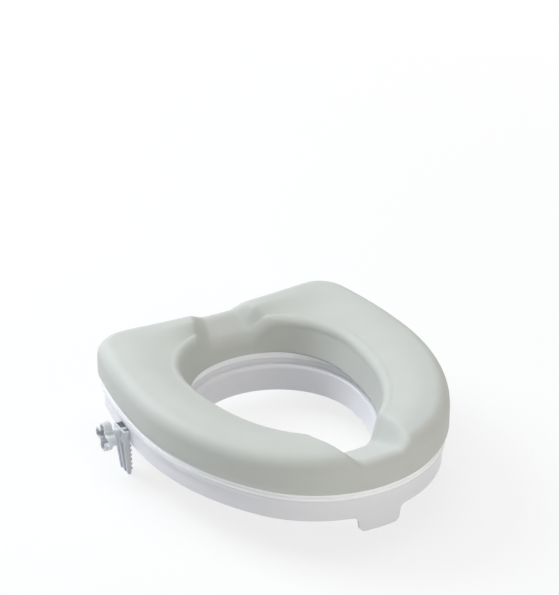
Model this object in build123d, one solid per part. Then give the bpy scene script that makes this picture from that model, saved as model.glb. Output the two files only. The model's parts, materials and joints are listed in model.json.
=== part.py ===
from build123d import *
from math import atan2, cos, degrees, pi, radians, sin, sqrt
import os

# Raised toilet seat with a foam cushion and two side clamps.
# Millimetres, +Z up, -Y is the front of the seat, X = 0 is the plane of symmetry.
# Z = 0 is the level of the clamp arms' tips, the lowest points, and Y = 0 is mid-length.

# ---- Outline of the seat, in plan ----
SEAT_WIDTH = 380.0
SEAT_LENGTH = 418.0
FRONT_RADIUS = 160.0
WIDEST_Y = 43.0            # where the seat has its full width
FLANK_RADIUS = 635.0       # sides behind the widest place
CORNER_RADIUS = 42.0
REAR_HOLLOW = 8.0          # depth of the hollow in the rear edge

# ---- Base moulding ----
LIP_HEIGHT = 8.1           # each of the two lips, the base's and the carrier's
BEAD_HEIGHT = 5.4          # rounded bead on each lip, at the parting plane
BEAD_ROUND = 2.5
SEAM_ROUND = 1.0           # edges of the two beads where they meet
BEAD_PROUD = 1.2
LIP_ROUND = 1.0
SKIRT_INSET = 3.4
SKIRT_DROP = 20.7          # below the base's lip
WALL = 3.0                 # skirt and web
RIB_WALL = 2.2
RIB_COUNT = 24
RIB_SHORT = 1.2            # ribs end this far above the skirt's edge
RIB_ROOT = 0.5             # ribs run this far into the web

# ---- Splash guard round the opening: half width, rear end, front end, widest place ----
GUARD_HALF_WIDTH = 108.0
GUARD_REAR_Y = 147.0
GUARD_FRONT_Y = -112.0
GUARD_WIDEST_Y = 40.0
GUARD_WALL = 2.6
GUARD_DROP = 40.0
LEDGE_WIDTH = 7.0
LEDGE_DROP = 4.5
LEDGE_ROUND = 5.0
GUARD_FLANGE = 6.0         # lies in a recess of the base's web, under the carrier
GUARD_FLANGE_HEIGHT = 1.5

# ---- Front tab ----
TAB_DROP = 41.3
TAB_HALF_WIDTH = 27.0
TAB_ROOT_HALF_WIDTH = 29.5
TAB_ROUND = 8.0

# ---- Carrier plate under the cushion ----
CARRIER_WEB = 3.0
CARRIER_RIM = 6.0
CARRIER_FLANGE = 2.6
FLANGE_REACH = 4.9         # carrier's inner flange, below the parting plane
PART_GAP = 0.2             # between mouldings that are put together

# ---- Cushion ----
CUSHION_HEIGHT = 50.0      # above the carrier's lip
CUSHION_INSET = 0.5
CUSHION_ROUND = 10.0
CUSHION_HALF_WIDTH = 102.8  # opening at its lower edge
CUSHION_REAR_Y = 153.8
CUSHION_FRONT_Y = -120.0
CUSHION_WIDEST_Y = 43.4
RIM_HALF_WIDTH = 112.0     # opening at its upper edge
RIM_REAR_Y = 157.0
RIM_FRONT_Y = -131.0
RIM_WIDEST_Y = 58.0
DISH_DEPTH = 8.0           # how far the top slopes down to the opening
DISH_SIDE_INSET = 25.0     # where the slope starts, from the outline
DISH_REAR_INSET = 23.0
DISH_FRONT_INSET = 19.0
# Channels across the ring: floor height above the carrier's lip, inside and outside,
# half width of the floor and of the shoulders, inside and outside
FRONT_FLOOR = (8.0, 32.0)
FRONT_FLOOR_HALF = 20.0
FRONT_SHOULDER_HALF = (58.0, 42.0)
REAR_FLOOR = (34.0, 45.0)
REAR_FLOOR_HALF = 24.0
REAR_SHOULDER_HALF = (49.0, 41.0)
CHANNEL_SPAN = (-0.3, 1.1)  # ends of a channel's cutter, in shares of the ring's width

# ---- Screws that hold the carrier on the base ----
SCREW_RADIUS = 2.0
SCREW_HEAD_RADIUS = 4.0
SCREW_HEAD_HEIGHT = 2.4
SCREW_HEAD_ROUND = 1.0
SCREW_LENGTH = 14.0
SCREW_HOLE_END = 1.0       # beyond the screw's tip
DRIVER_GAP = 2.5           # free of ribs round a screw's head
SCREW_BOSS_RADIUS = 4.5
SCREW_BOSS_HEIGHT = 11.0
SCREW_INSET = 28.0
SCREW_FROM_FRONT = (44.0, 134.0, 229.0)
SCREW_FROM_REAR = 59.0
SCREW_FIT = 0.05

# ---- Anti-slip pads ----
PAD_RADIUS = 14.0
PAD_THICKNESS = 3.0
PAD_ROUND = 0.9
PAD_PROUD = 1.0            # below the skirt's edge
PAD_STEM_RADIUS = 3.5
PAD_STEM_LENGTH = 7.0
PAD_BOSS_RADIUS = 7.5
PAD_FIT = 0.1
FRONT_PAD = (97.0, 38.0)   # from the seat's front end, and in from the outline
REAR_PAD = (49.0, 62.0)    # from the seat's rear end, and in from the outline

# ---- Side clamps ----
CLAMP_Y = 94.3
HEAD_WIDTH = 29.0
HEAD_HEIGHT = 14.0
HEAD_TOP_DROP = 4.5        # below the base's lip
HEAD_WALL = 2.6
HEAD_REACH = 9.5           # outer face of the head, from the skirt
CHEEK_WALL = 2.5
CHEEK_LENGTH = 34.5        # inwards from the skirt
SLIDE_GAP = 0.4
TRAVEL = 18.0
BARB = 1.5
BARB_LENGTH = 3.5
BARB_CREST = 1.0
ARM_DROP = 50.0            # below the head
ARM_TOP_WIDTH = 28.0
ARM_TIP_WIDTH = 21.0
ARM_TOP_DEPTH = 8.2
ARM_TIP_DEPTH = 4.6
ARM_LEAN = 2.4             # the tip stands this far in, towards the bowl
ARM_PLATE = 2.8
ARM_RIB = 2.0
ARM_TIP_ROUND = 2.0
TOOTH_PITCH = 6.7
TOOTH_COUNT = 6
TOOTH_HEIGHT = 2.0
TOOTH_ROOT = 4.8
TOOTH_TIP = 2.0

# ---- Clamp screw, nut, washer, clip and knob ----
THREAD_RADIUS = 5.0
SHANK_FIT = 0.1
CLAMP_SCREW_REACH = 44.5   # inwards from the skirt
SCREW_TIP_CHAMFER = 1.0
COLLAR_RADIUS = 6.0
CLIP_RADIUS = 6.5
CLIP_THICKNESS = 1.0
CLIP_GROOVE = 0.8          # depth of the groove in the screw
CLIP_MOUTH = 7.0
WASHER_THICKNESS = 0.8
WASHER_RADIUS = 6.0
WASHER_SEAT = 0.8          # the washer is let into the head this far
WASHER_FIT = 0.2
NUT_SIDE = 15.0
NUT_THICKNESS = 8.0
NUT_INSET = 20.5           # middle of the nut, inwards from the skirt
NUT_FIT = 0.1
POCKET_WALL = 2.0
KNOB_BACK_REACH = 11.5     # back of the knob, from the head's outer face
KNOB_DEPTH = 10.5
KNOB_WALL = 2.2
KNOB_FLOOR = 2.5
KNOB_EDGE = 0.8
LOBE_COUNT = 4
LOBE_RADIUS = 7.5
LOBE_CENTRE = 12.3         # lobe centres, from the axis
LOBE_TURN = 1.0            # degrees
VALLEY_RADIUS = 2.2
GRIP_COUNT = 7             # grooves round each lobe
GRIP_STEP = 26.0           # degrees
GRIP_RADIUS = 0.7
GRIP_END = 1.6             # from the knob's back and from its rim
HUB_RADIUS = 6.5
HUB_HEIGHT = 2.5
SQUARE_SIDE = 7.0
SQUARE_FIT = 0.05
SQUARE_END = 1.0           # the square stops this far inside the hub

PAST = 1.0                 # how far a cutter runs past what it cuts
SAME = 1e-3                # lengths this close count as equal
FROM_BASE = (Align.CENTER, Align.CENTER, Align.MIN)

# ---- Levels, from the arms' tips up ----
BASE_LIP_Z = ARM_DROP + HEAD_HEIGHT + HEAD_TOP_DROP
PART_Z = BASE_LIP_Z + LIP_HEIGHT           # parting plane, base to carrier
CARRIER_TOP_Z = PART_Z + LIP_HEIGHT
CUSHION_TOP_Z = CARRIER_TOP_Z + CUSHION_HEIGHT
WEB_UNDER_Z = PART_Z - WALL
SKIRT_Z = BASE_LIP_Z - SKIRT_DROP
RIB_Z = SKIRT_Z + RIB_SHORT
GUARD_Z = BASE_LIP_Z - GUARD_DROP
LEDGE_Z = BASE_LIP_Z - LEDGE_DROP
FLANGE_Z = PART_Z - FLANGE_REACH
REBATE_Z = FLANGE_Z - PART_GAP             # where the guard steps out for the carrier's flange
RECESS_Z = PART_Z - GUARD_FLANGE_HEIGHT    # floor of the web's recess for the guard's own flange
PAD_Z = SKIRT_Z - PAD_PROUD
HEAD_TOP_Z = BASE_LIP_Z - HEAD_TOP_DROP
HEAD_Z = HEAD_TOP_Z - HEAD_HEIGHT
AXIS_Z = HEAD_Z + HEAD_HEIGHT / 2

# ---- Outline as tangent arcs: centres and where they meet ----
HALF_WIDTH = SEAT_WIDTH / 2
FRONT_Y = -SEAT_LENGTH / 2
REAR_Y = SEAT_LENGTH / 2
FRONT_C = (0.0, FRONT_Y + FRONT_RADIUS)
FRONT_RUN = WIDEST_Y - FRONT_C[1]
SIDE_RADIUS = (HALF_WIDTH**2 + FRONT_RUN**2 - FRONT_RADIUS**2) / (2 * (HALF_WIDTH - FRONT_RADIUS))
SIDE_C = (HALF_WIDTH - SIDE_RADIUS, WIDEST_Y)
FLANK_C = (HALF_WIDTH - FLANK_RADIUS, WIDEST_Y)
CORNER_CY = REAR_Y - CORNER_RADIUS
CORNER_C = (
    FLANK_C[0] + sqrt((FLANK_RADIUS - CORNER_RADIUS) ** 2 - (CORNER_CY - WIDEST_Y) ** 2),
    CORNER_CY,
)
HOLLOW_RADIUS = (CORNER_C[0] ** 2 + REAR_HOLLOW**2) / (2 * REAR_HOLLOW) - CORNER_RADIUS
HOLLOW_C = (0.0, REAR_Y - REAR_HOLLOW + HOLLOW_RADIUS)

REBATE = LEDGE_WIDTH + CARRIER_FLANGE + 2 * PART_GAP   # the guard's step, out from its opening
GUARD_OUTER = REBATE + GUARD_WALL
WEB_EDGE = GUARD_OUTER + PART_GAP          # inner edge of the base's web, out from the opening


def angle(start, end):
    """Direction from one point of the plan to another, in degrees."""
    return degrees(atan2(end[1] - start[1], end[0] - start[0]))


def outline(inset=0.0):
    """Face inside the seat's outline, moved in by inset: nine tangent arcs."""
    front_side = angle(SIDE_C, FRONT_C)
    flank_corner = angle(FLANK_C, CORNER_C)
    corner_end = angle(CORNER_C, HOLLOW_C)
    hollow_start = angle(HOLLOW_C, CORNER_C)
    half = [
        CenterArc(FRONT_C, FRONT_RADIUS - inset, -90, front_side + 90),
        CenterArc(SIDE_C, SIDE_RADIUS - inset, front_side, -front_side),
        CenterArc(FLANK_C, FLANK_RADIUS - inset, 0, flank_corner),
        CenterArc(CORNER_C, CORNER_RADIUS - inset, flank_corner, corner_end - flank_corner),
        CenterArc(HOLLOW_C, HOLLOW_RADIUS + inset, hollow_start, -90 - hollow_start),
    ]
    return make_face(half + [mirror(arc, Plane.YZ) for arc in half])


def half_width(y, inset=0.0):
    """Half the width of the outline at y, between its front and its rear corners."""
    for (cx, cy), radius, low in (
        (FLANK_C, FLANK_RADIUS, WIDEST_Y),
        (SIDE_C, SIDE_RADIUS, FRONT_C[1] + FRONT_RADIUS * sin(radians(angle(SIDE_C, FRONT_C)))),
        (FRONT_C, FRONT_RADIUS, FRONT_Y),
    ):
        if y >= low:
            return cx + sqrt((radius - inset) ** 2 - (y - cy) ** 2)
    raise ValueError("no outline at this place")


def oval(half, rear, front, widest, grow=0.0):
    """Face of an egg-shaped opening: half an ellipse behind its widest place, half before it."""
    return make_face([
        EllipticalCenterArc((0, widest), half + grow, rear - widest + grow, 0, arc_size=180),
        EllipticalCenterArc((0, widest), half + grow, widest - front + grow, 180, arc_size=180),
    ])


def guard(grow=0.0):
    """Opening inside the splash guard, moved out by grow."""
    return oval(GUARD_HALF_WIDTH, GUARD_REAR_Y, GUARD_FRONT_Y, GUARD_WIDEST_Y, grow)


def prism(face, low, high):
    return extrude(Pos(0, 0, low) * face, high - low)


def block(x, y, z):
    """Box between two limits on each axis."""
    size = [high - low for low, high in (x, y, z)]
    middle = [(high + low) / 2 for low, high in (x, y, z)]
    return Pos(*middle) * Box(*size)


def rod(radius, low, high, place=(0.0, 0.0)):
    """Upright cylinder between two levels."""
    return Pos(place[0], place[1], low) * Cylinder(radius, high - low, align=FROM_BASE)


def axle(radius, low, high):
    """Cylinder on the clamp screw's axis, from one X to another."""
    return Pos(low, CLAMP_Y, AXIS_Z) * Rot(0, 90, 0) * Cylinder(radius, high - low, align=FROM_BASE)


def edges_at(part, z):
    """Edges that lie wholly in one level."""
    return [
        e for e in part.edges()
        if max(abs(e.bounding_box().min.Z - z), abs(e.bounding_box().max.Z - z)) < SAME
    ]


def both_sides(part):
    return [part, mirror(part, Plane.YZ)]


def save(name, *solids):
    """One STEP file for a node, with each of its pieces as a solid of its own."""
    pieces = [solid for shape in solids for solid in shape.solids()]
    shape = pieces[0] if len(pieces) == 1 else Compound(children=pieces)
    export_step(shape, f"parts/{name}.step")


# ---- Places worked out from the outline ----
SCREW_YS = [FRONT_Y + along for along in SCREW_FROM_FRONT] + [REAR_Y - SCREW_FROM_REAR]
SCREW_PLACES = [(side * half_width(y, SCREW_INSET), y) for y in SCREW_YS for side in (-1, 1)]
PAD_PLACES = {
    f"{end}_{side_name}": (side * half_width(y, inset), y)
    for end, y, inset in (("front", FRONT_Y + FRONT_PAD[0], FRONT_PAD[1]),
                          ("rear", REAR_Y - REAR_PAD[0], REAR_PAD[1]))
    for side_name, side in (("left", -1), ("right", 1))
}
SKIRT_X = half_width(CLAMP_Y, SKIRT_INSET)
HEAD_X = SKIRT_X + HEAD_REACH
CHEEK_END_X = SKIRT_X - CHEEK_LENGTH
NUT_X = SKIRT_X - NUT_INSET
SCREW_END_X = SKIRT_X - CLAMP_SCREW_REACH


def lip(low, bead_low):
    """Solid inside one lip: a plain band with a rounded bead round it."""
    bead = prism(outline(), bead_low, bead_low + BEAD_HEIGHT)
    for z in (bead_low, bead_low + BEAD_HEIGHT):
        bead = fillet(edges_at(bead, z), SEAM_ROUND if abs(z - PART_Z) < SAME else BEAD_ROUND)
    return prism(outline(BEAD_PROUD), low, low + LIP_HEIGHT) + bead


def splash_guard():
    """Wall round the opening: flange that hangs in the web, upper wall, rounded ledge and lower wall."""
    upper = LEDGE_WIDTH + GUARD_WALL
    wall = prism(guard(GUARD_WALL) - guard(), GUARD_Z, LEDGE_Z)
    wall += prism(guard(upper) - guard(), LEDGE_Z - GUARD_WALL, LEDGE_Z)
    wall += prism(guard(upper) - guard(LEDGE_WIDTH), LEDGE_Z, REBATE_Z)
    wall += prism(guard(GUARD_OUTER) - guard(LEDGE_WIDTH), REBATE_Z - GUARD_WALL, REBATE_Z)
    wall += prism(guard(GUARD_OUTER) - guard(REBATE), REBATE_Z, PART_Z)
    wall += prism(guard(GUARD_OUTER + GUARD_FLANGE) - guard(REBATE), RECESS_Z, PART_Z)
    nose = [e for e in edges_at(wall, LEDGE_Z) if e.bounding_box().max.X < GUARD_HALF_WIDTH + SAME]
    return fillet(nose, LEDGE_ROUND)


def skirt_and_tab():
    """Outer skirt with the tab that hangs down over the bowl's front."""
    band = outline(SKIRT_INSET) - outline(SKIRT_INSET + WALL)
    tab_z = BASE_LIP_Z - TAB_DROP
    foot = TAB_ROOT_HALF_WIDTH + 2 * TAB_ROUND
    right = [(foot, PART_Z), (foot, SKIRT_Z), (TAB_ROOT_HALF_WIDTH, SKIRT_Z), (TAB_HALF_WIDTH, tab_z)]
    left = [(-x, z) for x, z in reversed(right)]
    face = make_face(Polyline(*right, *left, close=True))
    corners = [v for v in face.vertices() if abs(v.X) < TAB_ROOT_HALF_WIDTH + SAME]
    face = fillet(corners, TAB_ROUND)
    tab = prism(band, tab_z, WEB_UNDER_Z) & extrude(Plane.XZ * face, SEAT_LENGTH)
    return prism(band, SKIRT_Z, PART_Z) + tab


def ribs():
    """Radial ribs under the web, from its inner edge to the skirt."""
    blade = block((0, SEAT_LENGTH), (-RIB_WALL / 2, RIB_WALL / 2), (RIB_Z, WEB_UNDER_Z + RIB_ROOT))
    turns = [360 * (number + 0.5) / RIB_COUNT for number in range(RIB_COUNT)]
    fan = [Pos(0, GUARD_WIDEST_Y, 0) * Rot(0, 0, turn) * blade for turn in turns]
    zone = prism(outline(SKIRT_INSET + WALL / 2) - guard(WEB_EDGE), RIB_Z, WEB_UNDER_Z + RIB_ROOT)
    return Compound(children=[s for rib in fan for s in (rib & zone).solids()])


def clamp_guide():
    """Rails, ceiling ribs and nut pocket for one clamp, on the +X side."""
    half = HEAD_WIDTH / 2
    wall_in = half + BARB + SLIDE_GAP
    head_z = HEAD_Z - SLIDE_GAP
    rail_x = (CHEEK_END_X - BARB_LENGTH, SKIRT_X - WALL / 2)
    guide = []
    for side in (-1, 1):
        def across(near, far):
            return sorted((CLAMP_Y + side * near, CLAMP_Y + side * far))

        guide += [
            block(rail_x, across(wall_in, wall_in + POCKET_WALL), (RIB_Z, PART_Z - WALL / 2)),
            block(rail_x, across(half - CHEEK_WALL / 2, wall_in + POCKET_WALL / 2), (RIB_Z, head_z)),
            block(rail_x, across(half - CHEEK_WALL, half), (HEAD_TOP_Z + SLIDE_GAP, PART_Z - WALL / 2)),
        ]
    nut_half = NUT_SIDE / 2 + NUT_FIT
    nut_x = (NUT_X - NUT_THICKNESS / 2 - NUT_FIT, NUT_X + NUT_THICKNESS / 2 + NUT_FIT)
    wall_x = (nut_x[0] - POCKET_WALL, nut_x[1] + POCKET_WALL)
    nut_y = (CLAMP_Y - nut_half, CLAMP_Y + nut_half)
    wall_y = (nut_y[0] - POCKET_WALL, nut_y[1] + POCKET_WALL)
    slot = THREAD_RADIUS + SLIDE_GAP
    pocket = block(wall_x, wall_y, (RIB_Z, PART_Z - WALL / 2))
    pocket -= block(nut_x, nut_y, (RIB_Z - PAST, WEB_UNDER_Z))
    through_x = (wall_x[0] - PAST, wall_x[1] + PAST)
    pocket -= block(through_x, (CLAMP_Y - slot, CLAMP_Y + slot), (RIB_Z - PAST, AXIS_Z))
    pocket -= axle(slot, *through_x)
    return guide + [pocket]


def clamp_clearance():
    """Space kept free of ribs and skirt for one clamp, on the +X side."""
    run_half = HEAD_WIDTH / 2 + BARB + SLIDE_GAP + POCKET_WALL / 2
    notch_half = HEAD_WIDTH / 2 + SLIDE_GAP
    run = block((SCREW_END_X - 2 * PAST, SKIRT_X - WALL), (CLAMP_Y - run_half, CLAMP_Y + run_half),
                (RIB_Z - PAST, WEB_UNDER_Z))
    notch = block((SKIRT_X - 3 * WALL, HALF_WIDTH - SKIRT_INSET / 2),
                  (CLAMP_Y - notch_half, CLAMP_Y + notch_half),
                  (SKIRT_Z - PAST, HEAD_TOP_Z + SLIDE_GAP))
    return run, notch


def base_ring():
    """White moulding that sits on the bowl: lip, web, skirt, tab, ribs and clamp guides."""
    rim = lip(BASE_LIP_Z, PART_Z - BEAD_HEIGHT)
    rim = fillet(edges_at(rim, BASE_LIP_Z), LIP_ROUND)
    rim -= prism(outline(SKIRT_INSET + WALL / 2), BASE_LIP_Z - PAST, PART_Z + PAST)
    web = prism(outline(SKIRT_INSET + WALL / 2) - guard(WEB_EDGE), WEB_UNDER_Z, PART_Z)
    web -= prism(guard(WEB_EDGE + GUARD_FLANGE), RECESS_Z, PART_Z + PAST)
    stiffening = ribs()
    run, notch = clamp_clearance()
    for space in both_sides(run):
        stiffening -= space
    for place in SCREW_PLACES:
        stiffening -= rod(SCREW_HEAD_RADIUS + DRIVER_GAP, RIB_Z - PAST, WEB_UNDER_Z, place)
    for place in PAD_PLACES.values():
        stiffening += rod(PAD_BOSS_RADIUS, PAD_Z + PAD_THICKNESS, PART_Z - WALL / 2, place)
    base = skirt_and_tab() + rim + web + stiffening
    for space in both_sides(notch):
        base -= space
    for piece in clamp_guide():
        for side in both_sides(piece):
            base += side
    for place in SCREW_PLACES:
        base -= rod(SCREW_RADIUS + SCREW_FIT, WEB_UNDER_Z - PAST, PART_Z + PAST, place)
    stem_top = PAD_Z + PAD_THICKNESS + PAD_STEM_LENGTH
    for place in PAD_PLACES.values():
        base -= rod(PAD_STEM_RADIUS + PAD_FIT, PAD_Z, stem_top + PAD_FIT, place)
        base -= rod(PAD_RADIUS + PAD_FIT, PAD_Z - PAST, PAD_Z + PAD_THICKNESS, place)
    return base


def screw_bosses(fit=0.0):
    """Bosses on the carrier that the screws bite into; they stand up into the cushion."""
    low = PART_Z + CARRIER_WEB
    high = low + SCREW_BOSS_HEIGHT + fit
    return [rod(SCREW_BOSS_RADIUS + fit, low - CARRIER_WEB / 2, high, place) for place in SCREW_PLACES]


def carrier_plate():
    """White plate that the cushion is moulded on: lip, web, inner flange and screw bosses."""
    plate = lip(PART_Z, PART_Z)
    floor_z = PART_Z + CARRIER_WEB
    plate -= prism(outline(CARRIER_RIM), floor_z, CARRIER_TOP_Z + PAST)
    opening = LEDGE_WIDTH + PART_GAP
    plate -= prism(guard(opening), PART_Z - PAST, CARRIER_TOP_Z)
    plate += prism(guard(opening + CARRIER_FLANGE) - guard(opening), FLANGE_Z, floor_z)
    for boss in screw_bosses():
        plate += boss
    hole_end = WEB_UNDER_Z + SCREW_LENGTH + SCREW_HOLE_END
    for place in SCREW_PLACES:
        plate -= rod(SCREW_RADIUS + SCREW_FIT, PART_Z - PAST, hole_end, place)
    return plate


def trough(y, floor_z, floor_half, shoulder_half, top_z):
    """Section of a channel across the cushion: flat floor and sloping sides, run on above the top."""
    slope = (shoulder_half - floor_half) / (top_z - floor_z)
    mouth_half = shoulder_half + slope * CUSHION_ROUND
    mouth_z = top_z + CUSHION_ROUND
    return Plane.XZ.offset(-y) * make_face(Polyline(
        (-floor_half, floor_z), (floor_half, floor_z),
        (mouth_half, mouth_z), (-mouth_half, mouth_z), close=True))


def channel(inside_y, outside_y, floors, floor_half, shoulders):
    """Cutter for one channel, run on past the ring inside and outside."""
    def between(ends, share):
        return ends[0] + (ends[1] - ends[0]) * share

    tops = (CUSHION_TOP_Z - DISH_DEPTH, CUSHION_TOP_Z)
    return loft([
        trough(between((inside_y, outside_y), share), CARRIER_TOP_Z + between(floors, share),
               floor_half, between(shoulders, share), between(tops, share))
        for share in CHANNEL_SPAN
    ], ruled=True)


def seat_cushion():
    """Foam ring: flat-sided outline, dished top, and a channel at the front and the rear."""
    floor_z = PART_Z + CARRIER_WEB
    ring = prism(outline(CUSHION_INSET), CARRIER_TOP_Z, CUSHION_TOP_Z)
    ring = fillet(edges_at(ring, CUSHION_TOP_Z), CUSHION_ROUND)
    ring += prism(outline(CARRIER_RIM), floor_z, CARRIER_TOP_Z)
    low = oval(CUSHION_HALF_WIDTH, CUSHION_REAR_Y, CUSHION_FRONT_Y, CUSHION_WIDEST_Y)
    high = oval(RIM_HALF_WIDTH, RIM_REAR_Y, RIM_FRONT_Y, RIM_WIDEST_Y)
    ring -= loft([Pos(0, 0, floor_z) * low, Pos(0, 0, CUSHION_TOP_Z) * high], ruled=True)
    dish = oval(HALF_WIDTH - DISH_SIDE_INSET, REAR_Y - DISH_REAR_INSET, FRONT_Y + DISH_FRONT_INSET,
                RIM_WIDEST_Y)
    ring -= loft([Pos(0, 0, CUSHION_TOP_Z - DISH_DEPTH) * high, Pos(0, 0, CUSHION_TOP_Z) * dish], ruled=True)
    ring -= channel(RIM_FRONT_Y, FRONT_Y, FRONT_FLOOR, FRONT_FLOOR_HALF, FRONT_SHOULDER_HALF)
    ring -= channel(RIM_REAR_Y, REAR_Y, REAR_FLOOR, REAR_FLOOR_HALF, REAR_SHOULDER_HALF)
    for boss in screw_bosses(PART_GAP):
        ring -= boss
    return ring


def base_screws():
    """Pan-head screws from below, through the base's web into the carrier's bosses."""
    screws = []
    for place in SCREW_PLACES:
        head = rod(SCREW_HEAD_RADIUS, WEB_UNDER_Z - SCREW_HEAD_HEIGHT, WEB_UNDER_Z, place)
        head = fillet(edges_at(head, WEB_UNDER_Z - SCREW_HEAD_HEIGHT), SCREW_HEAD_ROUND)
        screws.append(head + rod(SCREW_RADIUS, WEB_UNDER_Z, WEB_UNDER_Z + SCREW_LENGTH, place))
    return screws


def anti_slip_pad(place):
    """Rubber disc with a stem pressed up into its boss."""
    disc = rod(PAD_RADIUS, PAD_Z, PAD_Z + PAD_THICKNESS, place)
    disc = fillet(edges_at(disc, PAD_Z), PAD_ROUND)
    return disc + rod(PAD_STEM_RADIUS, PAD_Z, PAD_Z + PAD_THICKNESS + PAD_STEM_LENGTH, place)


def clamp_arm():
    """Toothed arm: back plate, three outward ribs, teeth towards the bowl; it leans in to its tip."""
    tip_x = HEAD_X - ARM_TOP_DEPTH - ARM_LEAN

    def back(z, out=0.0):
        """Point on the plate's face towards the bowl at a level, or out from it."""
        return (tip_x + ARM_LEAN * z / HEAD_Z + out, z)

    flank = (TOOTH_ROOT - TOOTH_TIP) / 2
    side = [back(HEAD_Z)]
    for number in range(TOOTH_COUNT):
        z = SKIRT_Z - (number + 0.5) * TOOTH_PITCH
        side += [back(z), back(z - flank, -TOOTH_HEIGHT),
                 back(z - TOOTH_ROOT + flank, -TOOTH_HEIGHT), back(z - TOOTH_ROOT)]
    side += [back(0), back(0, ARM_TIP_DEPTH), (HEAD_X, HEAD_Z)]
    face = make_face(Polyline(*side, close=True))
    tip = [v for v in face.vertices() if abs(v.Y) < SAME]
    face = fillet(tip, ARM_TIP_ROUND)
    arm = extrude(Plane.XZ.offset(-CLAMP_Y - HEAD_WIDTH) * face, 2 * HEAD_WIDTH)
    front = make_face(Polyline(
        (CLAMP_Y - ARM_TOP_WIDTH / 2, HEAD_Z), (CLAMP_Y + ARM_TOP_WIDTH / 2, HEAD_Z),
        (CLAMP_Y + ARM_TIP_WIDTH / 2, 0), (CLAMP_Y - ARM_TIP_WIDTH / 2, 0), close=True))
    arm &= extrude(Plane.YZ.offset(tip_x - 2 * TOOTH_HEIGHT) * front, 3 * ARM_TOP_DEPTH)
    outside = make_face(Polyline(
        back(HEAD_Z, ARM_PLATE), back(-PAST, ARM_PLATE), (HEAD_X + PAST, -PAST), (HEAD_X + PAST, HEAD_Z),
        close=True))
    outside = extrude(Plane.XZ.offset(-CLAMP_Y - HEAD_WIDTH) * outside, 2 * HEAD_WIDTH)
    groove_top = HEAD_Z - ARM_RIB
    for hand in (-1, 1):
        near = CLAMP_Y + hand * ARM_RIB / 2
        groove = make_face(Polyline(
            (near, groove_top), (CLAMP_Y + hand * (ARM_TOP_WIDTH / 2 - ARM_RIB), groove_top),
            (CLAMP_Y + hand * (ARM_TIP_WIDTH / 2 - ARM_RIB), -PAST), (near, -PAST), close=True))
        arm -= outside & extrude(Plane.YZ.offset(tip_x) * groove, 3 * ARM_TOP_DEPTH)
    return arm


def clamp_jaw():
    """Sliding head, open at the top, with its cheeks, barbs and the arm below; +X side."""
    half = HEAD_WIDTH / 2
    wall_x = HEAD_X - HEAD_WALL
    head = block((CHEEK_END_X, HEAD_X), (CLAMP_Y - half, CLAMP_Y + half), (HEAD_Z, HEAD_TOP_Z))
    upright = head.edges().filter_by(Axis.Z).sort_by(Axis.X)[-2:]
    head = fillet(upright, HEAD_WALL)
    head -= block((CHEEK_END_X - PAST, wall_x),
                  (CLAMP_Y - half + CHEEK_WALL, CLAMP_Y + half - CHEEK_WALL),
                  (HEAD_Z - PAST, HEAD_TOP_Z + PAST))
    jaw = head + clamp_arm()
    barb_x = half_width(CLAMP_Y + half + BARB, SKIRT_INSET + WALL) - TRAVEL - SLIDE_GAP
    for hand in (-1, 1):
        near, far = CLAMP_Y + hand * half, CLAMP_Y + hand * (half + BARB)
        face = make_face(Polyline(
            (barb_x - BARB_LENGTH, near), (barb_x, near), (barb_x, far), (barb_x - BARB_CREST, far),
            close=True))
        jaw += prism(face, HEAD_Z, HEAD_TOP_Z)
    jaw -= axle(WASHER_RADIUS + WASHER_FIT, HEAD_X - WASHER_SEAT, HEAD_X + PAST)
    return jaw - axle(THREAD_RADIUS + SHANK_FIT, wall_x - PAST, HEAD_X + PAST)


def clamp_screw():
    """Moulded screw: thread, clip groove, collar and the square that carries the knob."""
    groove_x = HEAD_X - HEAD_WALL - SLIDE_GAP / 2
    collar_x = HEAD_X - WASHER_SEAT + WASHER_THICKNESS
    knob_x = HEAD_X + KNOB_BACK_REACH
    screw = axle(THREAD_RADIUS, SCREW_END_X, collar_x + PAST)
    screw = chamfer(screw.edges().sort_by(Axis.X)[:1], SCREW_TIP_CHAMFER)
    screw += axle(COLLAR_RADIUS, collar_x, knob_x)
    screw -= axle(THREAD_RADIUS + PAST, groove_x - CLIP_THICKNESS, groove_x) \
        - axle(THREAD_RADIUS - CLIP_GROOVE, groove_x - CLIP_THICKNESS, groove_x)
    side = SQUARE_SIDE / 2
    square = block((knob_x - PAST, knob_x + KNOB_FLOOR + HUB_HEIGHT - SQUARE_END),
                   (CLAMP_Y - side, CLAMP_Y + side), (AXIS_Z - side, AXIS_Z + side))
    return screw + square


def screw_clip():
    """Retaining ring in the screw's groove, behind the head's wall."""
    high = HEAD_X - HEAD_WALL - SLIDE_GAP / 2
    low = high - CLIP_THICKNESS
    ring = axle(CLIP_RADIUS, low, high) - axle(THREAD_RADIUS - CLIP_GROOVE, low - PAST, high + PAST)
    return ring - block((low - PAST, high + PAST), (CLAMP_Y - CLIP_MOUTH / 2, CLAMP_Y + CLIP_MOUTH / 2),
                        (AXIS_Z, AXIS_Z + 2 * CLIP_RADIUS))


def thrust_washer():
    """Washer let into the head, under the screw's collar."""
    low = HEAD_X - WASHER_SEAT
    return axle(WASHER_RADIUS, low, low + WASHER_THICKNESS) \
        - axle(THREAD_RADIUS + SHANK_FIT, low - PAST, low + WASHER_THICKNESS + PAST)


def clamp_nut():
    """Square nut held in the base's pocket."""
    side = NUT_SIDE / 2
    nut = block((NUT_X - NUT_THICKNESS / 2, NUT_X + NUT_THICKNESS / 2),
                (CLAMP_Y - side, CLAMP_Y + side), (AXIS_Z - side, AXIS_Z + side))
    return nut - axle(THREAD_RADIUS + SHANK_FIT, NUT_X - NUT_THICKNESS, NUT_X + NUT_THICKNESS)


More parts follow.
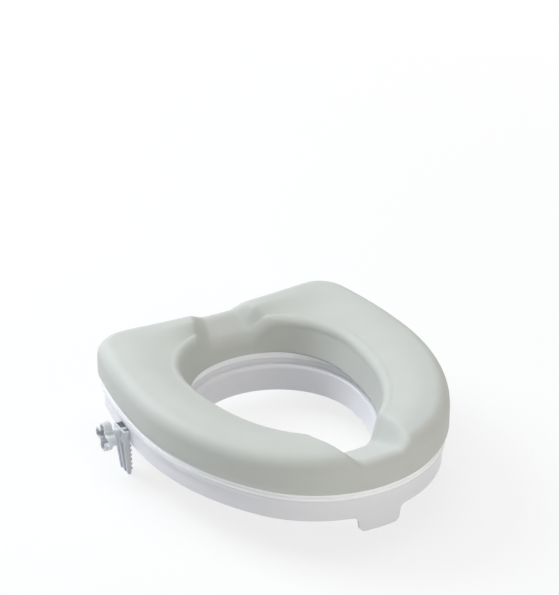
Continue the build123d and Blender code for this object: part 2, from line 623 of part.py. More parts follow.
def lobed_face(inset=0.0):
    """Outline of the knob, lobes and valleys as tangent arcs, moved in by inset."""
    half_step = pi / LOBE_COUNT
    reach = LOBE_RADIUS + VALLEY_RADIUS
    valley_centre = LOBE_CENTRE * cos(half_step) + sqrt(reach**2 - (LOBE_CENTRE * sin(half_step)) ** 2)
    valley = (valley_centre * cos(half_step), valley_centre * sin(half_step))
    meet = angle((LOBE_CENTRE, 0), valley)
    arcs = []
    for number in range(LOBE_COUNT):
        turn = 360 * number / LOBE_COUNT
        lobe = CenterArc((LOBE_CENTRE, 0), LOBE_RADIUS - inset, -meet, 2 * meet)
        back = meet + 180
        dip = CenterArc(valley, VALLEY_RADIUS + inset, back, -2 * (back - 180 - 180 / LOBE_COUNT))
        arcs += [Rot(0, 0, turn) * lobe, Rot(0, 0, turn) * dip]
    return make_face(arcs)


def grip_grooves(plane):
    """Rods that cut the grooves round the lobes, along the knob's axis."""
    length = KNOB_DEPTH - 2 * GRIP_END
    rods = []
    for lobe in range(LOBE_COUNT):
        turn = LOBE_TURN + 360 * lobe / LOBE_COUNT
        for number in range(GRIP_COUNT):
            around = GRIP_STEP * (number - (GRIP_COUNT - 1) / 2)
            rods.append(plane * Rot(0, 0, turn) * Pos(LOBE_CENTRE, 0, GRIP_END) * Rot(0, 0, around)
                        * Pos(LOBE_RADIUS + GRIP_RADIUS / 3, 0, 0)
                        * Cylinder(GRIP_RADIUS, length, align=FROM_BASE))
    return rods


def clamp_knob():
    """Lobed hand knob: a cup open outwards, with grip grooves and a hub on the screw's square."""
    back = HEAD_X + KNOB_BACK_REACH
    plane = Plane(origin=(back, CLAMP_Y, AXIS_Z), x_dir=(0, 0, 1), z_dir=(1, 0, 0))
    turned = Rot(0, 0, LOBE_TURN)
    knob = extrude(plane * turned * lobed_face(), KNOB_DEPTH)
    rim = [e for e in knob.edges() if e.bounding_box().size.X < SAME]
    knob = fillet(rim, KNOB_EDGE)
    knob -= extrude(plane.offset(KNOB_FLOOR) * turned * lobed_face(KNOB_WALL), KNOB_DEPTH)
    knob -= grip_grooves(plane)
    knob += axle(HUB_RADIUS, back, back + KNOB_FLOOR + HUB_HEIGHT)
    side = SQUARE_SIDE / 2 + SQUARE_FIT
    return knob - block((back - PAST, back + KNOB_FLOOR + HUB_HEIGHT - SQUARE_END + SQUARE_FIT),
                        (CLAMP_Y - side, CLAMP_Y + side), (AXIS_Z - side, AXIS_Z + side))


def build():
    os.makedirs("parts", exist_ok=True)
    save("base_ring", base_ring())
    save("splash_guard", splash_guard())
    save("carrier_plate", carrier_plate())
    save("seat_cushion", seat_cushion())
    save("base_screws", *base_screws())
    for name, place in PAD_PLACES.items():
        save(f"{name}_pad", anti_slip_pad(place))
    for name, piece in (
        ("clamp_jaw", clamp_jaw()),
        ("clamp_screw", clamp_screw()),
        ("screw_clip", screw_clip()),
        ("thrust_washer", thrust_washer()),
        ("clamp_nut", clamp_nut()),
        ("clamp_knob", clamp_knob()),
    ):
        right, left = both_sides(piece)
        save(f"right_{name}", right)
        save(f"left_{name}", left)


build()
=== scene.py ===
"""Raised toilet seat: foam cushion, threaded screws, finishes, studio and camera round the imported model.
Lengths are in metres, unless a name or a comment says mm. -Y is the front."""
import json
import math

import bmesh
import bpy
import numpy as np
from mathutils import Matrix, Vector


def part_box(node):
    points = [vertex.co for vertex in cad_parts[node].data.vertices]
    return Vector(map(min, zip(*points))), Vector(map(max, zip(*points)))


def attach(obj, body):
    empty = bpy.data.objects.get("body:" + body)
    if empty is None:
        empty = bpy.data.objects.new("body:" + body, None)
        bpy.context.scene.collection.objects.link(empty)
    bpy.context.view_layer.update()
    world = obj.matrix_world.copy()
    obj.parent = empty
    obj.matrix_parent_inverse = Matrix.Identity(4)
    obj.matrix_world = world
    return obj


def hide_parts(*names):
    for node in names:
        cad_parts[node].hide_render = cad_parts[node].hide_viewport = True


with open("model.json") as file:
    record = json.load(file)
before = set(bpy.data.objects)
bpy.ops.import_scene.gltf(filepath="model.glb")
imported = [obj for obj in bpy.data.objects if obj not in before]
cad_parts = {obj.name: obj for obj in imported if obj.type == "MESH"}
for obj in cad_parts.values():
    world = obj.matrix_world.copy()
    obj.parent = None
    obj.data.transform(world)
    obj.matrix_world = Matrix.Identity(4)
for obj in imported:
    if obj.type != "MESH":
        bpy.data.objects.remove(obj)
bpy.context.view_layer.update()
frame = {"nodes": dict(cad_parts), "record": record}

MM = 0.001


# ---------------------------------------------------------------- colours and nodes

def linear(hex_colour):
    """sRGB hex to linear RGBA: a channel c gives c / 12.92 up to 0.04045, and above it
    ((c + 0.055) / 1.055) ^ 2.4."""
    channels = [int(hex_colour[start:start + 2], 16) / 255 for start in (1, 3, 5)]
    return [c / 12.92 if c <= 0.04045 else ((c + 0.055) / 1.055) ** 2.4 for c in channels] + [1.0]


def add(tree, kind, settings=None, **inputs):
    """One shader node with its settings and links. An input that is given a socket is linked to it, and any
    other is set to its value. An input's name has _ for a space; one known by its number is in0, in1, ..."""
    node = tree.nodes.new("ShaderNode" + kind)
    for name, value in (settings or {}).items():
        setattr(node, name, value)
    for name, value in inputs.items():
        known_by_number = name[:2] == "in" and name[2:].isdigit()
        socket = node.inputs[int(name[2:]) if known_by_number else name.replace("_", " ")]
        if isinstance(value, bpy.types.NodeSocket):
            tree.links.new(value, socket)
        else:
            socket.default_value = value
    return node


def new_material(name):
    """An empty node material, its tree, and the Object coordinates that its patterns read."""
    material = bpy.data.materials.new(name)
    material.use_nodes = True
    tree = material.node_tree
    tree.nodes.clear()
    return material, tree, add(tree, "TexCoord").outputs["Object"]


def per_metre(size_mm):
    """A noise's scale in Object coordinates, for lumps that are size_mm across."""
    return 1000 / size_mm


# Settings of the nodes that spread a noise to a finish's range, and that mix its colours
SOFT = {"interpolation_type": "SMOOTHERSTEP"}
COLOUR = {"data_type": "RGBA"}
# Nearly all of a noise's values lie between these
NOISE = {"From_Min": 0.2, "From_Max": 0.8}


# ---------------------------------------------------------------- finishes

def integral_skin_foam():
    """Polyurethane foam moulded with a skin of its own: matt and soft, nearly one colour, with a faint orange
    peel 2 mm across."""
    material, tree, place = new_material("integral_skin_polyurethane_foam")
    peel = add(tree, "TexNoise", Vector=place, Scale=per_metre(2.0), Detail=3.0).outputs[0]
    cloud = add(tree, "TexNoise", Vector=place, Scale=per_metre(45.0), Detail=2.0).outputs[0]
    shade = add(tree, "MapRange", SOFT, Value=cloud, **NOISE, To_Min=0.0, To_Max=1.0).outputs[0]
    colour = add(tree, "Mix", COLOUR, in0=shade, in6=linear("#BCBEB8"), in7=linear("#BFC1BB")).outputs[2]
    roughness = add(tree, "MapRange", SOFT, Value=peel, **NOISE, To_Min=0.55, To_Max=0.63).outputs[0]
    bump = add(tree, "Bump", Strength=0.10, Distance=0.2 * MM, Height=peel).outputs[0]
    shader = add(tree, "BsdfPrincipled", Base_Color=colour, Roughness=roughness, IOR=1.45, Normal=bump)
    add(tree, "OutputMaterial", Surface=shader.outputs[0])
    return material


def moulded_polypropylene(name, dark, light, glossy, dull):
    """Injection-moulded polypropylene: white and half glossy. A large wall shows faint unevenness, 60 mm
    across. The mould's fine grain is drawn at 0.8 mm, coarser than it is, so that it shows from near."""
    material, tree, place = new_material(name)
    flow = add(tree, "TexNoise", Vector=place, Scale=per_metre(60.0), Detail=2.0).outputs[0]
    fine = add(tree, "TexNoise", Vector=place, Scale=per_metre(0.8), Detail=2.0).outputs[0]
    shade = add(tree, "MapRange", SOFT, Value=flow, **NOISE, To_Min=0.0, To_Max=1.0).outputs[0]
    colour = add(tree, "Mix", COLOUR, in0=shade, in6=linear(dark), in7=linear(light)).outputs[2]
    roughness = add(tree, "MapRange", SOFT, Value=flow, **NOISE, To_Min=glossy, To_Max=dull).outputs[0]
    bump = add(tree, "Bump", Strength=0.06, Distance=0.2 * MM, Height=fine).outputs[0]
    shader = add(tree, "BsdfPrincipled", Base_Color=colour, Roughness=roughness, IOR=1.49, Normal=bump)
    add(tree, "OutputMaterial", Surface=shader.outputs[0])
    return material


def moulded_polyamide(name, dark, light):
    """Injection-moulded polyamide: satin, with clouds 8 mm across. The grain of its spark-eroded mould is
    drawn at 0.6 mm, coarser than it is, so that it shows from near."""
    material, tree, place = new_material(name)
    spark = add(tree, "TexNoise", Vector=place, Scale=per_metre(0.6), Detail=4.0).outputs[0]
    cloud = add(tree, "TexNoise", Vector=place, Scale=per_metre(8.0), Detail=2.0).outputs[0]
    shade = add(tree, "MapRange", SOFT, Value=cloud, **NOISE, To_Min=0.0, To_Max=1.0).outputs[0]
    colour = add(tree, "Mix", COLOUR, in0=shade, in6=linear(dark), in7=linear(light)).outputs[2]
    roughness = add(tree, "MapRange", SOFT, Value=spark, **NOISE, To_Min=0.36, To_Max=0.50).outputs[0]
    bump = add(tree, "Bump", Strength=0.25, Distance=0.1 * MM, Height=spark).outputs[0]
    shader = add(tree, "BsdfPrincipled", Base_Color=colour, Roughness=roughness, IOR=1.53, Normal=bump)
    add(tree, "OutputMaterial", Surface=shader.outputs[0])
    return material


def moulded_rubber():
    """Moulded thermoplastic rubber: matt and nearly black. Its dusty grain is drawn at 0.5 mm, coarser than
    it is, so that it shows from near."""
    material, tree, place = new_material("moulded_rubber")
    dust = add(tree, "TexNoise", Vector=place, Scale=per_metre(0.5), Detail=3.0).outputs[0]
    shade = add(tree, "MapRange", SOFT, Value=dust, **NOISE, To_Min=0.0, To_Max=1.0).outputs[0]
    colour = add(tree, "Mix", COLOUR, in0=shade, in6=linear("#2A2A2B"), in7=linear("#353536")).outputs[2]
    roughness = add(tree, "MapRange", SOFT, Value=dust, **NOISE, To_Min=0.75, To_Max=0.9).outputs[0]
    bump = add(tree, "Bump", Strength=0.3, Distance=0.1 * MM, Height=dust).outputs[0]
    shader = add(tree, "BsdfPrincipled", Base_Color=colour, Roughness=roughness, IOR=1.5, Normal=bump)
    add(tree, "OutputMaterial", Surface=shader.outputs[0])
    return material


def coated_steel(name, dark, light, glossy, dull):
    """Steel with a zinc plating, which is bright, or a phosphate coat, which is dark: both are metallic, with
    cloudy patches 3 mm across."""
    material, tree, place = new_material(name)
    cloud = add(tree, "TexNoise", Vector=place, Scale=per_metre(3.0), Detail=4.0).outputs[0]
    shade = add(tree, "MapRange", SOFT, Value=cloud, **NOISE, To_Min=0.0, To_Max=1.0).outputs[0]
    colour = add(tree, "Mix", COLOUR, in0=shade, in6=linear(dark), in7=linear(light)).outputs[2]
    roughness = add(tree, "MapRange", SOFT, Value=cloud, **NOISE, To_Min=glossy, To_Max=dull).outputs[0]
    shader = add(tree, "BsdfPrincipled", Base_Color=colour, Metallic=1.0, Roughness=roughness)
    add(tree, "OutputMaterial", Surface=shader.outputs[0])
    return material


# One finish for each of the record's material slots
FINISHES = {
    "cushion_foam": integral_skin_foam(),
    "base_white": moulded_polypropylene("white_polypropylene_base", "#E0DFE2", "#E2E1E4", 0.28, 0.30),
    "carrier_white": moulded_polypropylene("white_polypropylene_carrier", "#F5F5F6", "#F7F7F8", 0.24, 0.26),
    "clamp_grey": moulded_polyamide("grey_polyamide", "#D6D9DC", "#DADDE0"),
    "pad_rubber": moulded_rubber(),
    "zinc_screw": coated_steel("zinc_plated_steel", "#B9B9B4", "#CCCCC6", 0.25, 0.4),
    "spring_steel": coated_steel("phosphated_spring_steel", "#6A6A6A", "#80807E", 0.35, 0.5),
    "washer_white": moulded_polyamide("natural_polyamide", "#DEDDD6", "#E6E5DE"),
    "nut_steel": coated_steel("zinc_plated_nut_steel", "#B4B4AE", "#C6C6C0", 0.3, 0.45),
}
SLOT_OF = {part["node"]: part["material_slot"] for part in frame["record"]["subparts"]}
for name, cad_node in frame["nodes"].items():
    cad_node.data.materials.clear()
    cad_node.data.materials.append(FINISHES[SLOT_OF[name]])


# ---------------------------------------------------------------- surfaces

WELD_DISTANCE = 0.0001 * MM


def surface(name, grid, slot, close_rows=True):
    """Smooth shaded mesh object over a grid of points (row, column, 3). The last column is joined to the
    first, and so is the last row where told. Points in one place, as at a pole, are welded into one."""
    rows, columns = grid.shape[:2]
    index = np.arange(rows * columns).reshape(rows, columns)
    index = np.concatenate([index, index[:, :1]], 1)
    if close_rows:
        index = np.concatenate([index, index[:1]], 0)
    faces = np.stack([index[:-1, :-1], index[:-1, 1:], index[1:, 1:], index[1:, :-1]], -1).reshape(-1, 4)
    mesh = bpy.data.meshes.new(name)
    mesh.from_pydata(grid.reshape(-1, 3), [], faces.tolist())
    skin = bmesh.new()
    skin.from_mesh(mesh)
    bmesh.ops.remove_doubles(skin, verts=skin.verts, dist=WELD_DISTANCE)
    skin.to_mesh(mesh)
    skin.free()
    mesh.polygons.foreach_set("use_smooth", np.ones(len(mesh.polygons), bool))
    piece = bpy.data.objects.new(name, mesh)
    bpy.context.scene.collection.objects.link(piece)
    mesh.materials.append(FINISHES[slot])
    return piece


def smooth(t):
    """0 below 0, 1 above 1, and 3 t^2 - 2 t^3 between."""
    t = np.clip(t, 0, 1)
    return t * t * (3 - 2 * t)


# The seat's outline, in mm: its size is the carrier's
carrier_low, carrier_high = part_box("carrier_plate")
HALF_WIDTH = (carrier_high.x - carrier_low.x) / 2 / MM
FRONT_Y = carrier_low.y / MM
REAR_Y = carrier_high.y / MM
FRONT_RADIUS = 160.0
WIDEST_Y = 43.0
FLANK_RADIUS = 635.0
CORNER_RADIUS = 42.0
REAR_HOLLOW = 8.0        # how far the rear edge is hollowed at its middle
ARC_POINTS = 400


def arc(centre, radius, start, end):
    """Points on a circle's arc, from one angle to another, in degrees."""
    angles = np.radians(np.linspace(start, end, ARC_POINTS))
    return np.stack([centre[0] + radius * np.cos(angles), centre[1] + radius * np.sin(angles)], -1)


def bearing(start, end):
    """Angle, in degrees from +X, of the line from one point to another."""
    return math.degrees(math.atan2(end[1] - start[1], end[0] - start[0]))


def outline(inset):
    """Right half of the seat's outline moved in by inset: front, side, flank, corner and rear hollow, each an
    arc that meets the next in one tangent, so that the line between two centres passes where they meet."""
    front = np.array([0, FRONT_Y + FRONT_RADIUS])
    run = WIDEST_Y - front[1]
    side_radius = (HALF_WIDTH**2 + run**2 - FRONT_RADIUS**2) / (2 * (HALF_WIDTH - FRONT_RADIUS))
    side = np.array([HALF_WIDTH - side_radius, WIDEST_Y])
    flank = np.array([HALF_WIDTH - FLANK_RADIUS, WIDEST_Y])
    corner_y = REAR_Y - CORNER_RADIUS
    reach = FLANK_RADIUS - CORNER_RADIUS
    corner = np.array([flank[0] + math.sqrt(reach**2 - (corner_y - WIDEST_Y) ** 2), corner_y])
    hollow_radius = (corner[0] ** 2 + REAR_HOLLOW**2) / (2 * REAR_HOLLOW) - CORNER_RADIUS
    hollow = np.array([0, REAR_Y - REAR_HOLLOW + hollow_radius])
    meet_side = bearing(side, front)
    meet_corner = bearing(flank, corner)
    meet_hollow = bearing(corner, hollow)
    return np.concatenate([
        arc(front, FRONT_RADIUS - inset, -90, meet_side),
        arc(side, side_radius - inset, meet_side, 0),
        arc(flank, FLANK_RADIUS - inset, 0, meet_corner),
        arc(corner, CORNER_RADIUS - inset, meet_corner, meet_hollow),
        arc(hollow, hollow_radius + inset, meet_hollow - 180, -90),
    ])


EGG_POINTS = 2000


def egg(half, rear, front, widest, power):
    """Right half of an egg: a quarter superellipse behind its widest place and one before it, of one power.
    Both are half wide, and as long as it is from there to rear and to front."""
    t = np.radians(np.linspace(-90, 90, EGG_POINTS))
    x = half * np.abs(np.cos(t)) ** (2 / power)
    y = np.abs(np.sin(t)) ** (2 / power) * np.where(t > 0, rear - widest, front - widest) + widest
    return np.stack([x, y], -1)


POLE = np.array([0.0, 30.0])     # the cushion's columns fan out from here, in mm
COLUMNS = 900
CROWDING = 0.3


def fan(points):
    """Where each column's ray from the pole meets a right half outline, mirrored for the left: the distance
    from the pole is interpolated over the angle. To each even angle, CROWDING times the sine of twice that
    angle is added, which crowds the columns at both channels."""
    offset = points - POLE
    angle = np.arctan2(offset[:, 1], offset[:, 0])
    order = np.argsort(angle)
    even_turn = np.linspace(-np.pi, np.pi, COLUMNS, endpoint=False)
    turn = even_turn + CROWDING * np.sin(2 * even_turn)
    folded = np.arctan2(np.sin(turn), np.abs(np.cos(turn)))
    distance = np.interp(folded, angle[order], np.hypot(*offset.T)[order])
    return POLE + np.stack([np.cos(turn), np.sin(turn)], -1) * distance[:, None]


# ---------------------------------------------------------------- cushion, in mm

cushion_low, cushion_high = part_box("seat_cushion")
CUSHION_TOP = cushion_high.z / MM
CUSHION_THICKNESS = 50.0     # as seen from outside, above the carrier's lip
LIP_GAP = 0.1
FOOT_Z = CUSHION_TOP - CUSHION_THICKNESS + LIP_GAP
UNDERSIDE_GAP = 0.3
LOW_Z = cushion_low.z / MM + UNDERSIDE_GAP
FOOT_INSET = 0.6
LIP_INSET = 6.3              # from here inwards the underside lies lower, within the lip
BULGE = 4.6                  # how far the outer wall swells out beyond its foot
BULGE_HEIGHT = 11.0          # the height over which it does
EDGE_INSET = 15.0            # where the top's rounded edge ends
EDGE_DROP = 19.0             # how far below the top that edge starts
DISH_MARGIN = 24.0           # inset at which the dish starts
DISH_DEPTH = 8.5             # how far it has fallen at the opening's rim
DISH_END_SLOPE = 1.4         # its slope there, over its mean slope
RIM_ROUND = 13.0             # size of the rounding at the opening's rim
MOST_ROUNDED = 0.7           # the share of the foam's height that this rounding takes at most
RIM = egg(half=111.5, rear=156.3, front=-129.5, widest=57.0, power=2.1)
OPENING = egg(half=102.8, rear=153.8, front=-120.0, widest=43.4, power=2.2)

# Each channel, at its end by the opening and at its end by the seat's outer edge: where that is, the floor's
# height, how far from the middle the wall and its shoulder start and stop, and the wall's share of the height
FRONT_CHANNEL = {
    "y": (-127.0, -196.0),
    "floor": (92.5, 121.5),
    "wall_start": (28.0, 24.0),
    "wall_stop": (51.0, 45.0),
    "shoulder_start": (46.0, 40.0),
    "shoulder_stop": (58.0, 52.0),
    "wall_share": (0.95, 0.93),
}
REAR_CHANNEL = {
    "y": (157.0, 194.0),
    "floor": (101.5, 125.0),
    "wall_start": (26.0, 19.0),
    "wall_stop": (54.0, 42.0),
    "shoulder_start": (44.0, 32.0),
    "shoulder_stop": (61.0, 52.0),
    "wall_share": (0.92, 0.92),
}
# Past its ends a channel's slope and taper run on to these shares of its length
RUN_ON = (-0.3, 1.5)
# A channel starts this far from the pole, along Y, and is whole from the second distance on
CHANNEL_FROM, CHANNEL_WHOLE = 24.0, 104.0


def channel_depth(x, y, bare):
    """How deep the two channels are below the bare top. The floor's height and the widths change in a
    straight line from the opening to the outer edge. Each wall is a smoothstep of the distance from the
    middle, and its shoulder is a quarter sine that ends level."""
    out = np.abs(x)
    depth = np.zeros_like(x)
    for channel in (FRONT_CHANNEL, REAR_CHANNEL):
        inner_y, outer_y = channel["y"]
        share = np.clip((y - inner_y) / (outer_y - inner_y), *RUN_ON)
        here = {name: inner + (outer - inner) * share for name, (inner, outer) in channel.items()}
        wall = smooth((out - here["wall_start"]) / (here["wall_stop"] - here["wall_start"]))
        past = (out - here["shoulder_start"]) / (here["shoulder_stop"] - here["shoulder_start"])
        shoulder = np.sin(np.clip(past, 0, 1) * np.pi / 2)
        rise = here["wall_share"] * wall + (1 - here["wall_share"]) * shoulder
        from_pole = (y - POLE[1]) * np.sign(inner_y - POLE[1])
        near = smooth((from_pole - CHANNEL_FROM) / (CHANNEL_WHOLE - CHANNEL_FROM))
        depth = np.maximum(depth, np.maximum(bare - here["floor"], 0) * (1 - rise) * near)
    return depth


def even(t):
    """A straight run's share."""
    return t


def slow_start(t):
    """A quarter circle's share that starts level."""
    return 1 - np.cos(t * np.pi / 2)


def slow_end(t):
    """A quarter circle's share that ends level."""
    return np.sin(t * np.pi / 2)


def dish_fall(t):
    """A cubic that starts level and ends with DISH_END_SLOPE."""
    return t * t * (3 - DISH_END_SLOPE + (DISH_END_SLOPE - 2) * t)


def lowered(top, drop):
    """Height a drop below the top. Where a channel leaves little foam, the drop shrinks with it."""
    return top - drop * np.minimum(1, MOST_ROUNDED * (top - LOW_Z) / RIM_ROUND)


def foam_cushion():
    """Closed ring: at each column a profile goes up the outer wall, which swells out above its foot, over the
    rounded edge, down the dished top, over the rounded rim, down the inner wall and back underneath. The
    channels lower all above the walls and shorten the walls in proportion."""
    foot = fan(outline(FOOT_INSET))
    swell = fan(outline(FOOT_INSET - BULGE))
    edge = fan(outline(EDGE_INSET))
    dish = fan(outline(DISH_MARGIN))
    lip = fan(outline(LIP_INSET))
    rim = fan(RIM)
    opening = fan(OPENING)
    rim_start = rim + (dish - rim) / np.linalg.norm(dish - rim, axis=1)[:, None] * RIM_ROUND
    swell_z = FOOT_Z + BULGE_HEIGHT
    edge_z = CUSHION_TOP - EDGE_DROP
    rim_top = CUSHION_TOP - DISH_DEPTH
    rim_z = rim_top - RIM_ROUND
    outer_wall = (FOOT_Z, edge_z)
    inner_wall = (LOW_Z, rim_z)
    # Runs of rows: the lines and the heights from and to which they go, how many they are, how they share out
    # the way in plan and in height, how high a sharp-edged top would be there, and which wall they are on
    above = (
        (foot, swell, FOOT_Z, swell_z, 9, slow_end, even, CUSHION_TOP, outer_wall),
        (swell, swell, swell_z, edge_z, 8, even, even, CUSHION_TOP, outer_wall),
        (swell, edge, edge_z, CUSHION_TOP, 18, slow_start, slow_end, CUSHION_TOP, None),
        (edge, dish, CUSHION_TOP, CUSHION_TOP, 5, even, even, None, None),
        (dish, rim_start, CUSHION_TOP, rim_top, 28, even, dish_fall, None, None),
        (rim_start, rim, rim_top, rim_z, 14, slow_end, slow_start, rim_top, None),
        (rim, opening, rim_z, LOW_Z, 14, even, even, rim_top, inner_wall),
    )
    # No channel reaches these, because they are lower than its floor
    underneath = (
        (opening, lip, LOW_Z, LOW_Z, 5, even, even, None, None),
        (lip, lip, LOW_Z, FOOT_Z, 3, even, even, None, None),
        (lip, foot, FOOT_Z, FOOT_Z, 3, even, even, None, None),
    )
    rows = []
    for start, end, start_z, end_z, count, across, rise, sharp_top, wall in above + underneath:
        t = np.linspace(0, 1, count, endpoint=False)[:, None]
        plan = start + (end - start) * across(t)[..., None]
        height = start_z + (end_z - start_z) * rise(t)
        bare = height if sharp_top is None else sharp_top
        top = bare - channel_depth(plan[..., 0], plan[..., 1], bare)
        if wall:
            low, high = wall
            z = low + (height - low) * (lowered(top, bare - high) - low) / (high - low)
        else:
            z = lowered(top, bare - height)
        rows.append(np.dstack([plan, z]))
    piece = surface("foam_cushion", np.concatenate(rows) * MM, "cushion_foam")
    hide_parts("seat_cushion")
    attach(piece, "seat")


foam_cushion()


# ---------------------------------------------------------------- clamp screws, in mm

THREAD_RADIUS = 5.0
THREAD_PITCH = 3.0
THREAD_DEPTH = 0.9
WAVE_PEAK = 1.5          # height of the triangle wave that the thread is cut from, in thread depths
WAVE_SLOPE = 4.2         # its fall from there to each side, in thread depths a pitch
ROWS_PER_PITCH = 12
TURN_COLUMNS = 72
TIP_CHAMFER = 1.0
CLIP_DEPTH = 0.8
SQUARE_SIDE = 7.0
SHARP_ANGLE = 50         # in degrees; where faces meet at a larger angle, the edge is shaded sharp


def clamp_screw(side, outward):
    """Moulded screw as one closed skin of rows along its axis and columns round it. The thread's radius falls
    from crest to root by a triangle wave, cut flat at both, of the distance along the axis less the pitch
    times the turn, which makes a right-hand helix. Then come the clip's groove, a plain shank, the collar,
    and a square end, whose radius is half its side over the larger of cosine and sine. Each end is closed by
    a fan of faces round one point."""
    low, high = (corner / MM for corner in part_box(side + "_clamp_screw"))
    start, end = sorted((abs(low.x), abs(high.x)))
    clip_start, clip_end = sorted(abs(corner.x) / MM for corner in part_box(side + "_screw_clip"))
    collar_start = max(abs(corner.x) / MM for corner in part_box(side + "_thrust_washer"))
    knob_start = min(abs(corner.x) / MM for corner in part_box(side + "_clamp_knob"))
    collar = (high.y - low.y) / 2
    groove = THREAD_RADIUS - CLIP_DEPTH
    turn = np.linspace(0, 2 * np.pi, TURN_COLUMNS, endpoint=False)
    square = np.minimum(SQUARE_SIDE / 2 / np.maximum(abs(np.cos(turn)), abs(np.sin(turn))), collar)
    thread = np.arange(start, clip_start, THREAD_PITCH / ROWS_PER_PITCH)[:, None]
    wave = (thread / THREAD_PITCH - turn / (2 * np.pi)) % 1
    ridge = np.clip(WAVE_PEAK - WAVE_SLOPE * abs(wave - 0.5), 0, 1)
    fade = np.minimum(1, np.minimum(thread - start, clip_start - thread) / THREAD_PITCH)
    lead_in = np.minimum(0, thread - start - TIP_CHAMFER)
    # The rows beyond the thread: how far along the axis, and the radius
    plain = (
        (clip_start, THREAD_RADIUS),
        (clip_start, groove),
        (clip_end, groove),
        (clip_end, THREAD_RADIUS),
        (collar_start, THREAD_RADIUS),
        (collar_start, collar),
        (knob_start, collar),
        (knob_start, square),
        (end, square),
        (end, 0),
    )
    along = np.array([start, *thread[:, 0], *(place for place, size in plain)])[:, None] + 0 * turn
    radius = np.vstack([
        0 * turn,
        THREAD_RADIUS + lead_in - THREAD_DEPTH * (1 - ridge) * fade,
        *(size + 0 * turn for place, size in plain),
    ])
    grid = np.stack([along, radius * np.cos(turn), radius * np.sin(turn)], -1)
    # The left screw is turned half round, not mirrored, so its thread stays right-hand
    grid[..., :2] *= outward
    middle = (0, (low.y + high.y) / 2, (low.z + high.z) / 2)
    piece = surface(side + "_threaded_screw", (grid + middle) * MM, "clamp_grey", close_rows=False)
    piece.data.set_sharp_from_angle(angle=math.radians(SHARP_ANGLE))
    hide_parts(side + "_clamp_screw")
    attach(piece, side + "_knob")


clamp_screw("left", -1)
clamp_screw("right", 1)


# ---------------------------------------------------------------- studio

FLOOR_REACH = 6.0
PAPER_SHARE = 0.22       # how much of the paper's own light the camera and reflections see near the seat
SHARE_FULL = 0.5         # how far from the middle that share starts to fade
SHARE_GONE = 1.6         # and where none is left
SEAT_MIDDLE = (0, 0, 0.1)


def studio_floor():
    """Pale paper floor at the arms' tips. The camera and reflections see plain white with a fifth of the
    paper's own light mixed in, which keeps a soft shadow; that share fades to none further away."""
    mesh = bpy.data.meshes.new("floor")
    corners = [(x * FLOOR_REACH, y * FLOOR_REACH, 0) for x, y in ((-1, -1), (1, -1), (1, 1), (-1, 1))]
    mesh.from_pydata(corners, [], [(0, 1, 2, 3)])
    floor = bpy.data.objects.new("floor", mesh)
    bpy.context.scene.collection.objects.link(floor)
    material, tree, place = new_material("pale_paper")
    cloud = add(tree, "TexNoise", Vector=place, Scale=per_metre(400.0), Detail=2.0).outputs[0]
    shade = add(tree, "MapRange", SOFT, Value=cloud, **NOISE, To_Min=0.0, To_Max=1.0).outputs[0]
    colour = add(tree, "Mix", COLOUR, in0=shade, in6=linear("#E9E9E9"), in7=linear("#EAEAEA")).outputs[2]
    paper = add(tree, "BsdfDiffuse", Color=colour)
    white = add(tree, "Emission", Color=linear("#FFFFFF"), Strength=1.0)
    away = add(tree, "VectorMath", {"operation": "LENGTH"}, in0=place).outputs["Value"]
    share = add(tree, "MapRange", Value=away, From_Min=SHARE_FULL, From_Max=SHARE_GONE,
                To_Min=PAPER_SHARE, To_Max=0.0)
    seen = add(tree, "MixShader", in0=share.outputs[0], in1=white.outputs[0], in2=paper.outputs[0])
    path = add(tree, "LightPath").outputs
    show = add(tree, "Math", {"operation": "MAXIMUM"}, in0=path["Is Camera Ray"], in1=path["Is Glossy Ray"])
    mixed = add(tree, "MixShader", in0=show.outputs[0], in1=paper.outputs[0], in2=seen.outputs[0])
    add(tree, "OutputMaterial", Surface=mixed.outputs[0])
    mesh.materials.append(material)


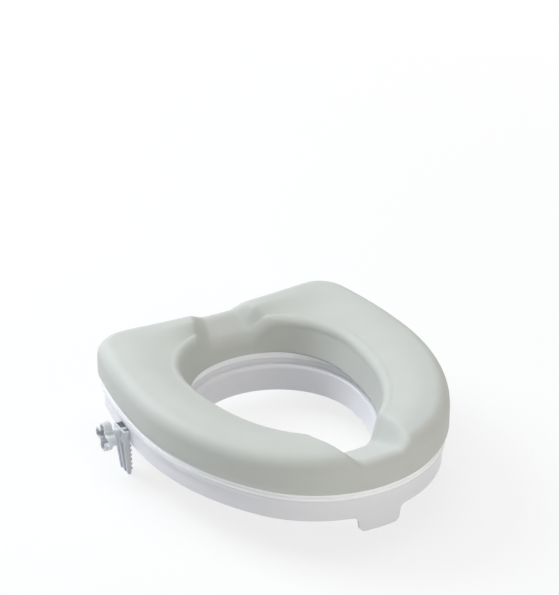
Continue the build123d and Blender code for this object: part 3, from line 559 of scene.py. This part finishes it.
def studio_world(level):
    """Even white room light of the level; the camera and reflections see full white."""
    world = bpy.data.worlds.new("studio")
    bpy.context.scene.world = world
    world.use_nodes = True
    tree = world.node_tree
    tree.nodes.clear()
    room = add(tree, "Background", Color=linear("#FFFFFF"), Strength=level)
    white = add(tree, "Background", Color=linear("#FFFFFF"), Strength=1.0)
    path = add(tree, "LightPath").outputs
    show = add(tree, "Math", {"operation": "MAXIMUM"}, in0=path["Is Camera Ray"], in1=path["Is Glossy Ray"])
    mixed = add(tree, "MixShader", in0=show.outputs[0], in1=room.outputs[0], in2=white.outputs[0])
    add(tree, "OutputWorld", Surface=mixed.outputs[0])


def softbox(name, place, watts, colour, size=2.0):
    """Square area lamp at a place, turned to the seat's middle."""
    data = bpy.data.lights.new(name, "AREA")
    data.energy = watts
    data.size = size
    data.color = linear(colour)[:3]
    lamp = bpy.data.objects.new(name, data)
    bpy.context.scene.collection.objects.link(lamp)
    lamp.location = place
    lamp.rotation_euler = (Vector(SEAT_MIDDLE) - Vector(place)).to_track_quat("-Z", "Y").to_euler()


def studio_camera(azimuth, elevation, distance, aim, lens):
    """Camera that looks along azimuth, in degrees from +Y towards +X, and down by elevation, at a point."""
    data = bpy.data.cameras.new("camera")
    data.lens = lens
    camera = bpy.data.objects.new("camera", data)
    bpy.context.scene.collection.objects.link(camera)
    a, e = math.radians(azimuth), math.radians(elevation)
    look = Vector((math.sin(a) * math.cos(e), math.cos(a) * math.cos(e), -math.sin(e)))
    camera.location = Vector(aim) - look * distance
    camera.rotation_euler = (math.pi / 2 - e, 0, -a)
    bpy.context.scene.camera = camera


studio_floor()
studio_world(0.25)
softbox("key_softbox", (-1.5, 2.2, 2.4), 108, "#F0F7FF")
softbox("top_softbox", (0.0, 0.3, 3.2), 34, "#FFFFFF", size=2.5)
softbox("back_softbox", (0.6, 3.2, 0.9), 16, "#F0F7FF")
softbox("front_softbox", (0.6, -3.0, 1.0), 37, "#FFFDF5")
studio_camera(azimuth=29.62, elevation=27.73, distance=3.219, aim=(0.1451, 0.2902, 0.0673), lens=143.8)
bpy.context.scene.view_settings.view_transform = "Standard"
